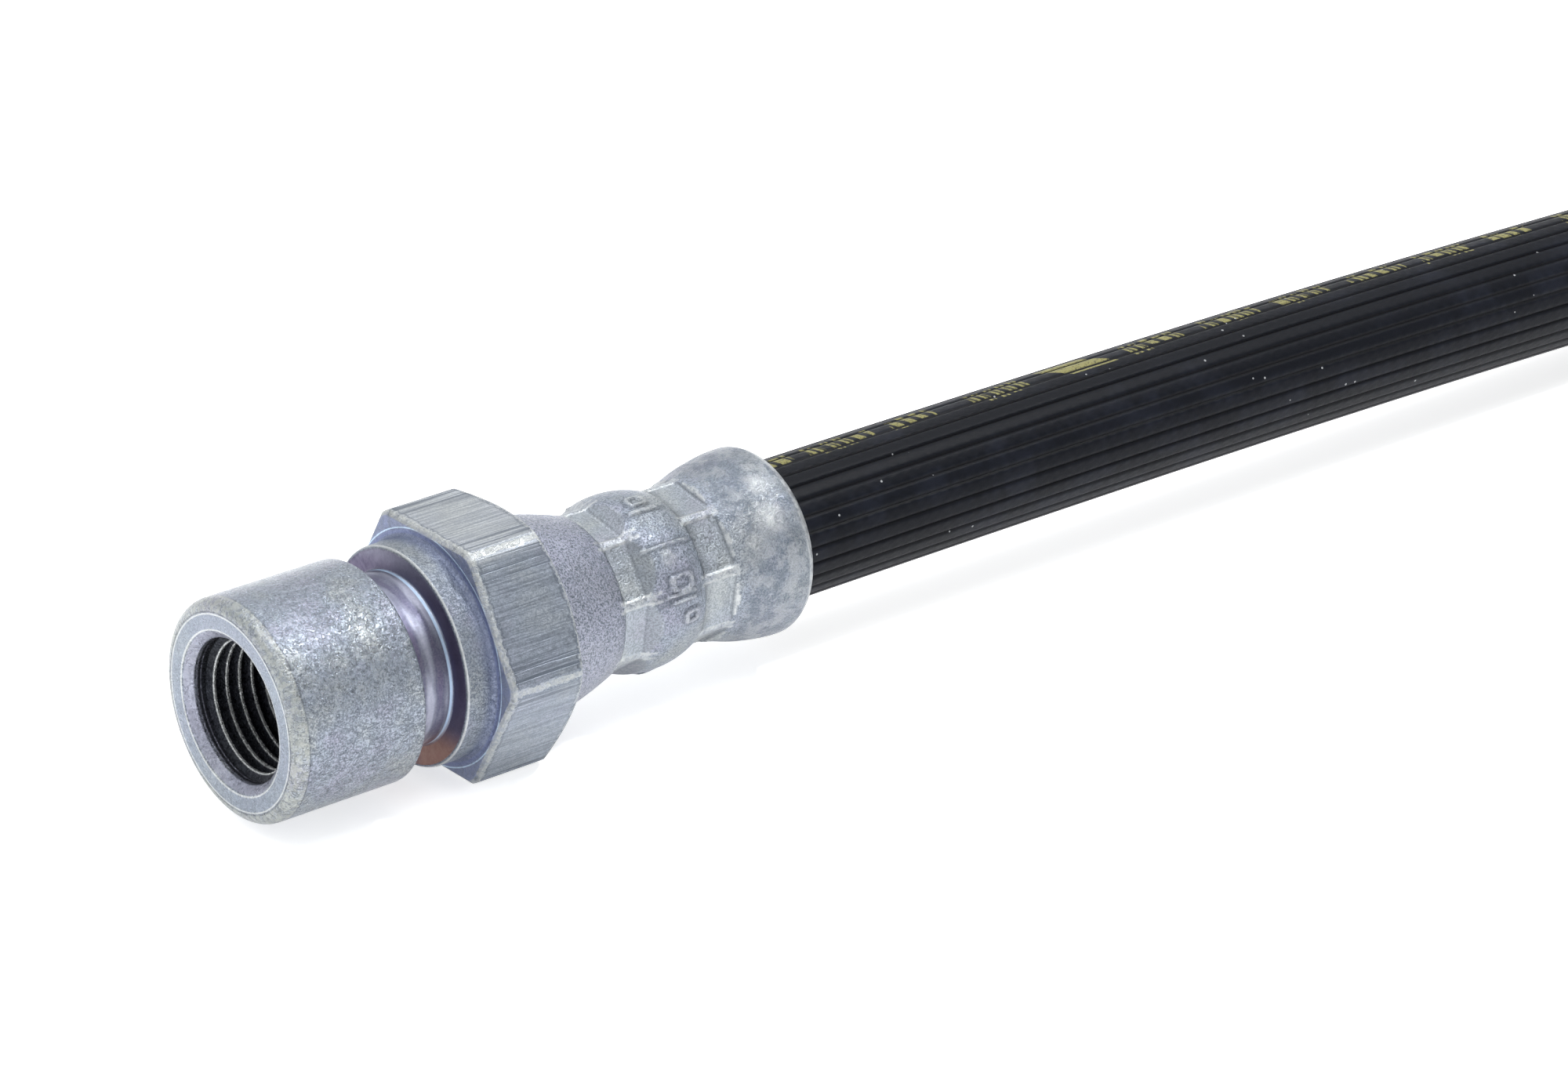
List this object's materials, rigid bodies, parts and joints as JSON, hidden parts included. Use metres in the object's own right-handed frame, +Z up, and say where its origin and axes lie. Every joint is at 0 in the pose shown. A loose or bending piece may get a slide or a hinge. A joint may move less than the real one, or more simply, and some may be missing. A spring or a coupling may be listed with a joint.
{
  "type": "hydraulic hose assembly",
  "caption": "Ribbed rubber brake hose with crimped steel end fittings: a female threaded port with a clip groove and hexagon, and a male stud with a hexagon.",
  "frame": {"origin": "centre of the female port's mouth, on the axis of both fittings", "axes": "+X from the female port along the hose to the male stud, +Z up with both hexagons on a flat"},
  "size_m": [0.35, 0.0192, 0.017],
  "materials": {
    "fitting_steel": "satin",
    "ferrule_steel": "satin",
    "insert_steel": "satin",
    "liner_rubber": "matt",
    "braid_fibre": "matt",
    "cover_rubber": "satin"
  },
  "bodies": {
    "root": {"female_fitting_body": "fitting_steel", "male_fitting_body": "fitting_steel", "female_barbed_insert": "insert_steel", "male_barbed_insert": "insert_steel", "female_crimp_ferrule": "ferrule_steel", "male_crimp_ferrule": "ferrule_steel", "hose_inner_tube": "liner_rubber", "hose_inner_braid": "braid_fibre", "hose_cushion_layer": "liner_rubber", "hose_outer_braid": "braid_fibre", "hose_ribbed_cover": "cover_rubber"}
  },
  "joints": []
}
